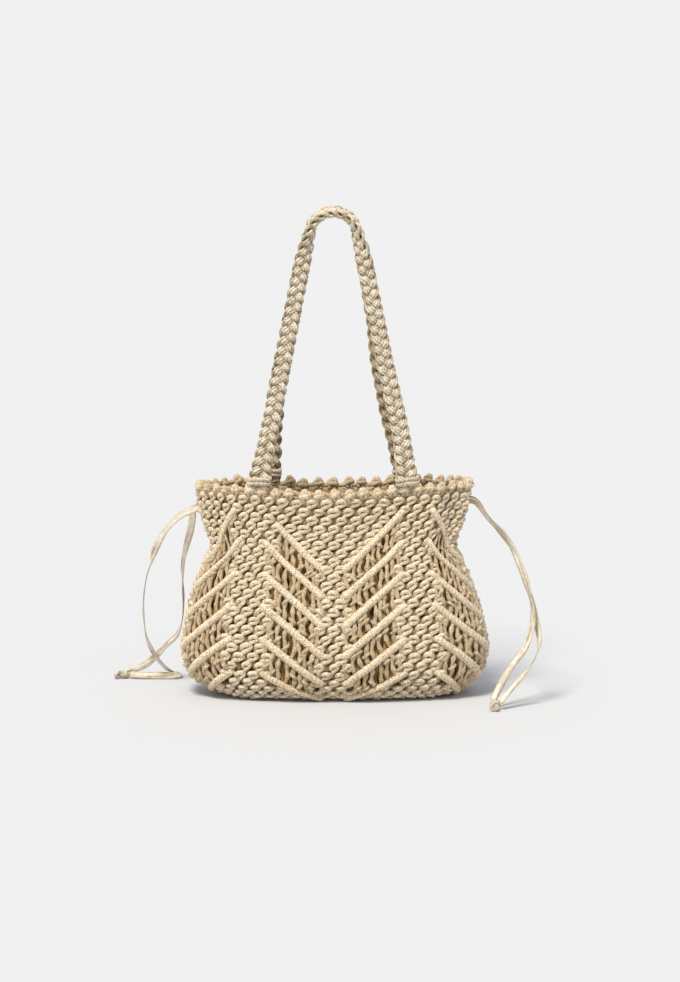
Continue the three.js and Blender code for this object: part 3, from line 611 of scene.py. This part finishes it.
def ribsFor(number):
    batches = []
    step = np.arange(rib["stations"])
    for side in (-1, 1):
        for line in range(net["ribs"]):
            shorter = net["shortArm"] if (number, side, line) == (0, -1, 0) else 0
            share = np.linspace(armHigh + 0.03 - shorter, armLow - 0.02, rib["stations"])
            down = ribMiddle(line, share)
            ends = np.minimum(smooth(0, 8, step), smooth(0, 8, step[::-1]))
            out = rib["out"] - rib["dive"] * (1 - ends)
            way = np.stack([(number + side * share) * panel, -down, out], 1)
            run = lengths(way)
            around = np.arange(rib["sides"])[None] / rib["sides"]
            groove = np.abs(np.sin(math.pi * (run[:, None] / rib["pitch"] + side * around)))
            section = circle(rib["sides"])[None] * (rib["radius"] + rib["swell"] * np.sqrt(groove))[..., None]
            # Painted shade: full pale on the rib, a little darker low down.
            shade = np.repeat(1 - 0.25 * smooth(0.6 * wallDrop, 0.95 * wallDrop, down), rib["sides"])
            batches.append(tubes(way, 0.75 + 0.25 * ends, section, shade=shade))
    return onWall(joined(batches))


# The open bays between two ribs: short cords that lean across the ribs and bend as sin(1.1 turn t), in
# front of deeper cords that lean the other way. Each front cord swells by exp(-((t - place) / 0.08)^2) at
# the two places where it was knotted, and most of them are tied with a hitch. Painted shade makes the
# deeper cords darker, and each cord paler as it rises out of the wall.
ladder = {
    "strands": 9, "cord": 2.0, "knob": 1.3, "out": 2.2, "shade": 0.4, "inner": 13, "innerCord": 2.6,
    "innerOut": -4.2, "innerShade": 0.28, "lean": 6.5, "bend": 1.6, "stations": 13, "hitch": 1.9, "tied": 0.7,
}


# A hitch round an upright cord: a short bar that slants over its front, bulging as sqrt(1 - s^2).
def hitches(x, y, z):
    s = np.linspace(-1, 1, 6)[None]
    at = rng.integers(3, 10, len(x))
    row = np.arange(len(x))
    slant = np.where(rng.random(len(x)) < 0.7, 1, -1)[:, None]
    px = x[row, at][:, None] + 3.6 * s
    py = y[row, at][:, None] + 2.8 * slant * s
    pz = z[row, at][:, None] - 1.2 + 4.0 * np.sqrt(1 - s ** 2)
    # The hitches stand in front and are painted a little paler, as painted shade.
    return tubes(np.stack([px, py, pz], -1), ladder["hitch"], circle(6), shade=0.62)


def laddersFor(number):
    t = np.linspace(0, 1, ladder["stations"])[None]
    batches = []
    for side in (-1, 1):
        for line in range(net["ribs"] - 1):
            for layer, total in ((1, ladder["strands"]), (-1, ladder["inner"])):
                place = armHigh + (armLow - armHigh) * (np.arange(total) + 0.5) / total
                lean = ladder["lean"] * layer * side * rng.uniform(0.2, 1.3, total)
                begin = side * rng.normal(0.4, 0.7, total)[:, None]
                bend = side * ladder["bend"] * (np.sin(turn * 1.1 * t + begin) - np.sin(begin))
                middle = (number + side * place) * panel + rng.normal(0, 0.5, total)
                x = middle[:, None] + lean[:, None] * (t - 0.5) + bend
                top, low = ribMiddle(line, place), ribMiddle(line + 1, place)
                y = -(top[:, None] * (1 - t) + low[:, None] * t)
                out, cord, toneAndShade = (ladder[key] for key in (
                    ("out", "cord", "shade") if layer > 0 else ("innerOut", "innerCord", "innerShade")))
                z = out * np.sin(math.pi * t) + 0.4 * layer + 0.5 * np.cos(turn * t + begin)
                knobAt = rng.uniform(0.2, 0.4, total)[:, None]
                knobs = np.exp(-((t - knobAt) / 0.08) ** 2) + np.exp(-((t - knobAt - 0.36) / 0.08) ** 2)
                radius = cord + ladder["knob"] * knobs * (layer > 0)
                # Painted shade: darker on the deeper cords, paler by 0.07 a millimetre of height.
                shade = np.repeat(toneAndShade + 0.07 * z + rng.normal(0, 0.05, (total, 1)), 7 + layer, axis=1)
                if (number, side, line) == (0, -1, 0):
                    kept = place < armHigh - net["shortArm"]
                    x, y, z, radius, shade = (part[kept] for part in (x, y, z, radius, shade))
                ways = np.stack([x, y, z], -1)
                batches.append(tubes(ways, radius, circle(7 + layer), wide=(1, 0, 0), shade=shade))
                if layer > 0:
                    tied = rng.random(len(x)) < ladder["tied"]
                    batches.append(hitches(x[tied], y[tied], z[tied]))
    return onWall(joined(batches))


# The rim: a small upright knot stands over the edge above every column of knots, as a tight bight of cord
# with a bar across it, on two cords that run round the mouth. Those at the back and the right stand higher.
# Painted shade makes the knots paler where they stand out and darker where they lie deep.
rim = {"bight": 2.8, "inner": 2.6, "bar": 2.7, "header": 2.5, "headers": ((-3.6, -1.6), (-8.6, -1.4)),
       "stations": 70, "shade": 0.72, "lift": 2.5}


def rimFor(number):
    bight = evenCurve([(-2.3, -12, -1.0), (-2.6, -6, 1.2), (-2.0, -1.6, 1.6), (0.2, 0.0, 0.8),
                       (2.1, -1.8, 1.6), (2.6, -6, 1.2), (2.3, -12, -1.0)], 12)
    inner = bight * (1, 0.95, 0) + (0, -0.4, -2.9)
    bar = evenCurve([(-4.4, -8.2, -2.2), (-4.2, -6.4, 0.8), (-1.2, -5.0, 3.4), (2.2, -4.2, 3.0),
                     (4.4, -4.2, 0.6), (4.2, -5.2, -2.2)], 9)
    flat = joined([tubes(bight, rim["bight"], circle(6)), tubes(inner, rim["inner"], circle(6)),
                   tubes(bar, rim["bar"], circle(6)),
                   tubes(bar * (-1, 1, -1) - (0, 0.4, 1.4), rim["bar"], circle(6))])
    # Painted shade: paler where the rim's cords stand out, darker where they lie deep.
    flat["shade"] = rim["shade"] + 0.04 * np.clip(flat["points"][:, 2], -4, 4)
    each = net["knotsAcross"]
    places = np.zeros((each, 3))
    around = number - 0.5 + np.arange(each) / each
    places[:, 0] = around * panel + rng.normal(0, 0.5, each)
    places[:, 1] = rng.normal(0.6, 0.9, each) + rim["lift"] * smooth(-0.1, 0.6, around) * (number < 3)
    angle = np.radians(rng.normal(3, 9, each))
    size = np.repeat(rng.normal(1.02, 0.07, each)[:, None], 3, 1)
    header = []
    for height, out in rim["headers"]:
        x = (number + np.linspace(-0.52, 0.52, rim["stations"])) * panel
        wave = np.sin(turn * x / panel * each)
        way = np.stack([x, height + 0.7 * wave, out + 0 * x], 1)
        # The cords round the mouth get a middling painted shade.
        header.append(tubes(way, rim["header"] + 0.3 * wave, circle(8), shade=0.5))
    return onWall(joined([repeated(flat, places, angle, size, rng.normal(0, 0.06, each)), *header]))


for number, side in enumerate(("front", "right", "back", "left")):
    makePiece("net_" + side, [knotsFor(number), ribsFor(number), laddersFor(number), rimFor(number)],
              netCotton, "net_cord", "net_body")


# The base: the same knots in straight rows, pressed flat inside the base's outline.
base = {"pitch": 15.4, "row": 9.6, "columns": 8, "rows": 4, "margin": 3.0, "flatter": 0.6, "edgeSteps": 721}


def baseBatch():
    column, row = (np.arange(-base[key], base[key] + 1) for key in ("columns", "rows"))
    x, y = np.meshgrid(column * base["pitch"], row * base["row"])
    x = x + (row % 2)[:, None] * base["pitch"] / 2
    around = np.linspace(0, perimeter, base["edgeSteps"])
    edge = plainWall(around, np.full(len(around), wallDrop))[:, :2]
    bearing = np.arctan2(edge[:, 1], edge[:, 0])
    order = np.argsort(bearing)
    reach = np.interp(np.arctan2(y, x), bearing[order], np.hypot(*edge.T)[order])
    keep = np.hypot(x, y) < reach - base["margin"]
    x, y = x[keep], y[keep]
    count = len(x)
    places = np.stack([x, y, np.zeros(count)], 1)
    size = np.broadcast_to((1, 1, base["flatter"]), (count, 3))
    angle = np.radians(squareKnot["tilt"] + rng.normal(0, 4, count))
    batch = repeated(knotFlat, places, angle, size, rng.normal(0, 0.06, count))
    batch["points"] = batch["points"] * (1, -1, -1) + (0, 0, foot)
    batch["points"][:, 2] = np.maximum(batch["points"][:, 2], 0)
    return batch


makePiece("net_base", [baseBatch()], netCotton, "net_cord", "net_body")

print("handles")
handle = {
    "width": 20.0, "topWidth": 16.0, "flare": 4.0, "thickness": 10.0, "seat": 240.0, "top": 551.0,
    "radius": 28.0, "half": 83.0, "gap": 0.6, "flareEnd": 0.16, "turnStart": 0.76, "steps": 1601,
    "station": 2.3, "past": 5.0,
    "period": {"front": 34.0, "back": 44.0}, "rise": 2.6, "cord": 1.6, "apart": 2.7, "spread": 2.5,
    "core": 1.9, "near": (35, 120), "fuller": 0.45, "crown": 1.5, "coreCrown": 1.6,
    # Painted shade of the plaits: the back one is painted darker, as its inner face lies in shadow, and the
    # cords that stand out are painted paler.
    "toneAndShade": {"front": 0.28, "back": -0.1}, "shadeSlope": 0.27,
    "foot": {"front": ((-83, -28.31, 240.0), (83, -28.29, 240.0)),
             "back": ((-68, 29.39, 239.58), (81, 28.46, 240))},
    "aside": {
        "front": (((0, -0.05), (0.3, 0), (1, 0)), ((0, 0.02), (0.2, 0.16), (0.5, 0.05), (1, 0))),
        "back": (((0, 0.52), (0.08, 0.42), (0.2, 0.2), (0.32, 0), (1, 0)),
                 ((0, -0.1), (0.12, -0.2), (0.26, -0.32), (0.42, -0.3), (0.62, -0.06), (0.75, 0), (1, 0))),
    },
}
handleRise = handle["top"] - handle["thickness"] / 2 - handle["seat"]
archCentre = handleRise - handle["radius"]
handleLean = math.atan2(handle["half"], archCentre)
handleLean -= math.asin(handle["radius"] / math.hypot(handle["half"], archCentre))
archLength = handle["radius"] * (math.pi / 2 - handleLean)
handleReach = archLength + math.sqrt(handle["half"] ** 2 + archCentre ** 2 - handle["radius"] ** 2)


# How far a leg stands aside, in widths, at a share of the rise: smooth steps between the rows' values.
def easedAside(rows, climb):
    rows = np.array(rows)
    i = np.clip(np.searchsorted(rows[:, 0], climb, side="right") - 1, 0, len(rows) - 2)
    share = smooth(rows[i, 0], rows[i + 1, 0], climb)
    return rows[i, 1] + (rows[i + 1, 1] - rows[i, 1]) * share


# A handle's line from its left foot over the top to its right foot: an arc of the arch's radius, then
# straight legs that lean out, moved by what each stands aside. Its depth goes from the seat's to the top's
# as sin(climb pi / 2). Its flat side turns inwards towards the top, where the two handles lie together.
def handleLine(end):
    along = np.linspace(-handleReach, handleReach, handle["steps"])
    far = np.abs(along)
    onArch = np.minimum(far, archLength) / handle["radius"]
    onLeg = np.maximum(far - archLength, 0)
    x = handle["radius"] * np.sin(onArch) + math.sin(handleLean) * onLeg
    z = archCentre + handle["radius"] * np.cos(onArch) - math.cos(handleLean) * onLeg
    climb = np.clip(z / handleRise, 0, 1)
    seats = np.array(handle["foot"][end])
    seat = np.where((along < 0)[:, None], seats[0], seats[1])
    asideLeft, asideRight = (easedAside(rows, climb) for rows in handle["aside"][end])
    aside = np.where(along < 0, asideLeft, asideRight)
    topDepth = (-1 if end == "front" else 1) * (handle["topWidth"] + handle["gap"]) / 2
    depth = seat[:, 1] + (topDepth - seat[:, 1]) * np.sin(climb * math.pi / 2)
    low = 1 - smooth(0, handle["flareEnd"], climb)
    height = handle["seat"] + z + (seat[:, 2] - handle["seat"]) * low
    middle = np.stack([np.sign(along) * x + aside * handle["width"], depth, height], 1)
    ahead = np.gradient(middle, axis=0)
    ahead /= np.linalg.norm(ahead, axis=1, keepdims=True)
    flat = np.cross((0, 1, 0), ahead)
    flat /= np.linalg.norm(flat, axis=1, keepdims=True)
    back = np.cross(ahead, flat)
    turned = (smooth(handle["turnStart"], 1, climb) * math.pi / 2)[:, None]
    wide = flat * np.cos(turned) + back * np.sin(turned)
    width = handle["width"] + (handle["topWidth"] - handle["width"]) * climb + handle["flare"] * low
    return {"along": along, "middle": middle, "wide": wide, "thick": np.cross(ahead, wide), "width": width}


# Points on a handle, by how far they lie along its line, across its width and out of its flat side. Past
# its feet the line goes straight down.
def onHandle(line, along, across, out):
    def at(values):
        return np.stack([np.interp(along, line["along"], values[:, k]) for k in range(3)], -1)
    past = np.maximum(np.abs(along) - handleReach, 0)[..., None] * np.array((0, 0, -1.0))
    points = at(line["middle"]) + past + at(line["wide"]) * across[..., None]
    return points + at(line["thick"]) * out[..., None]


# A plait of three bundles of three cords round a core cord: each bundle swings across as sin(angle) and
# through the plait as sin(2 angle), a third of a turn after the last, and its cords lie side by side across
# its own path. Near the arch the plait is fuller. The painted shade grows paler with the distance from the
# plait's middle, the core is painted dark, and the back plait darker, as its inner face lies in shadow.
def plait(line, end):
    period = handle["period"][end]
    reach = handleReach + handle["past"]
    along = np.arange(-reach, reach, handle["station"])[None]
    bundle, strand = (v.ravel()[:, None] for v in np.meshgrid(np.arange(3), np.arange(3), indexing="ij"))
    angle = turn * (along / period + bundle / 3)
    half = handle["steps"] // 2 + 1
    width = np.interp(np.abs(along), -line["along"][:half][::-1], line["width"][:half][::-1])
    width = width + handle["spread"]
    swing = (width - 2 * handle["apart"] - 2 * handle["cord"]) / 2
    slope = np.arctan(swing * np.cos(angle) * turn / period)
    aside = (strand - 1) * handle["apart"]
    across = swing * np.sin(angle) + aside * np.cos(slope)
    wave = np.sin(2 * angle)
    out = handle["rise"] * wave + 0.8 * (0.6 - np.abs(strand - 1)) * np.sign(wave) * np.sqrt(np.abs(wave))
    near = 1 - smooth(*handle["near"], np.abs(along))
    lift = out * (1 + handle["fuller"] * near) - handle["crown"] * near
    paths = onHandle(line, along - aside * np.sin(slope), across, lift)
    # Painted shade: paler where a cord stands out of the plait, darker on the back plait, with a random tone.
    toneAndShade = handle["toneAndShade"][end] + handle["shadeSlope"] * np.abs(out) + rng.normal(0, 0.07, (9, 1))
    spine = onHandle(line, along[0], 0 * along[0], -handle["crown"] * near[0])
    core = tubes(spine, handle["core"] + handle["coreCrown"] * near, circle(8), wide=(0, 1, 0.2), shade=0.25)
    cords = tubes(paths, handle["cord"] * (1 + 0.15 * near), circle(6), wide=(0, 1, 0.2),
                  shade=np.repeat(toneAndShade, 6, axis=1))
    return joined([core, cords])


# Cord bound round the foot of a leg: a helix on a superellipse, whose height waves by
# 1.1 sin(angle + side) + 0.5 sin(3 angle) and whose thickness waves by 0.2 sin(4.3 angle).
binding = {"turns": 2.2, "start": 1.4, "pitch": 4.6, "half": (11.4, 6.0), "power": 2.4, "cord": 2.4,
           "stations": 90, "shade": 0.6}


def wrap(line, side):
    angle = np.linspace(0, binding["turns"] * turn, binding["stations"])
    up = binding["start"] + binding["pitch"] * angle / turn
    around = np.stack([np.cos(angle), np.sin(angle)], 1)
    around = np.sign(around) * np.abs(around) ** (2 / binding["power"]) * binding["half"]
    middle = np.stack([np.interp(side * (handleReach - up), line["along"], line["middle"][:, k])
                       for k in range(3)], 1)
    height = 1.1 * np.sin(angle + side) + 0.5 * np.sin(3 * angle)
    path = middle + np.stack([around[:, 0], around[:, 1], height], 1)
    radius = binding["cord"] + 0.2 * np.sin(4.3 * angle)
    return tubes(path, radius, circle(8), wide=(0, 0, 1), shade=binding["shade"])


for end in ("front", "back"):
    line = handleLine(end)
    makePiece(f"handle_{end}_plait", [plait(line, end)], handleCotton, "handle_cord", "handle_" + end)
    for side, word in ((-1, "left"), (1, "right")):
        name = f"wrap_{end}_{word}"
        makePiece(name + "_cord", [wrap(line, side)], handleCotton, "handle_cord", name)

print("tape loops")
# A loop leaves out a share of the lap on each side of its slots, lies so far inside the middle of the wall
# and starts with a straight stub. Its slots lie slotHalf in front of and behind the middle of the side.
loop = {"share": 0.025, "inside": 6.3, "stub": 5.5, "slotHalf": 5.0, "lapSteps": 140, "stations": 260}


# A tape inside the mouth: it follows the inside of the wall level, and turns straight out at its slots.
def tapeLoop(name, side, down, x, z):
    middle = 0.5 - side * 0.25
    around = (middle + loop["share"] + np.linspace(0, 1 - 2 * loop["share"], loop["lapSteps"])) * perimeter
    below = np.full(loop["lapSteps"], down)
    level = plainWall(around, below)
    out, _ = wallFrame(around, below)
    out[:, 2] = 0
    out /= np.linalg.norm(out, axis=1, keepdims=True)
    lap = level + out * (foldPush(around, below) - loop["inside"])[:, None]
    first = loop["slotHalf"] if lap[0, 1] > 0 else -loop["slotHalf"]
    within = side * (x - loop["stub"])
    way = [(side * x, first, z), (within, first, z), *lap[3:-3:4].tolist(),
           (within, -first, z), (side * x, -first, z)]
    outline = strap(tape["width"], tape["thickness"], tape["loopSides"])
    ribbon = tubes(evenCurve(way, loop["stations"]), 1.0, outline, wide=(0, 0, 1), mapWidth=tape["width"])
    makePiece(name + "_ribbon", [ribbon], tapeCotton, "cotton_tape", name)


tapeLoop("tape_right_loop", 1, down=20.0, x=146.4, z=220.2)
tapeLoop("tape_left_loop", -1, down=29.6, x=144.4, z=210.8)

print("floor and light")
studio = {
    "floor": "#c9c9c9", "sky": "#eef3ff", "skyStrength": 0.72, "sun": "#fffbf2",
    "sunFrom": (-0.44, -0.72, 1.55), "sunSize": 20.0, "sunStrength": 3.2, "floorReach": 60.0,
}


# A broad soft sun from the upper left front, which gives the shadow to the right its blurred edge.
def addSun():
    data = bpy.data.lights.new("soft key", "SUN")
    data.angle, data.energy = math.radians(studio["sunSize"]), studio["sunStrength"]
    data.color = linear(studio["sun"])[:3]
    lamp = bpy.data.objects.new("soft key", data)
    bpy.context.scene.collection.objects.link(lamp)
    lamp.rotation_euler = (-Vector(studio["sunFrom"])).to_track_quat("-Z", "Y").to_euler()


# Matt paper, almost white, with a grain too faint to see as more than a soft surface.
def addFloor():
    material, tree = newMaterial("pale paper floor")
    place = addNode(tree, "TexCoord").outputs["Object"]
    grain = addNode(tree, "TexNoise", {"Vector": place, "Scale": 300.0, "Detail": 2.0})
    shader = addNode(tree, "BsdfPrincipled", {"Base Color": linear(studio["floor"]), "Roughness": 0.9,
                                              "Specular IOR Level": 0.1})
    bump = addNode(tree, "Bump", {"Height": grain.outputs[0], "Distance": 0.0002, "Strength": 0.2})
    tree.links.new(bump.outputs[0], shader.inputs["Normal"])
    addNode(tree, "OutputMaterial", {"Surface": shader.outputs[0]})
    mesh = bpy.data.meshes.new("floor")
    far = studio["floorReach"]
    mesh.from_pydata([(-far, -far, 0), (far, -far, 0), (far, far, 0), (-far, far, 0)], [], [(0, 1, 2, 3)])
    mesh.materials.append(material)
    floor = bpy.data.objects.new("floor", mesh)
    bpy.context.scene.collection.objects.link(floor)


addFloor()
addSun()
world = bpy.data.worlds.new("studio")
world.use_nodes = True
world.node_tree.nodes["Background"].inputs[0].default_value = linear(studio["sky"])
world.node_tree.nodes["Background"].inputs[1].default_value = studio["skyStrength"]
bpy.context.scene.world = world
bpy.context.scene.view_settings.view_transform = "Standard"
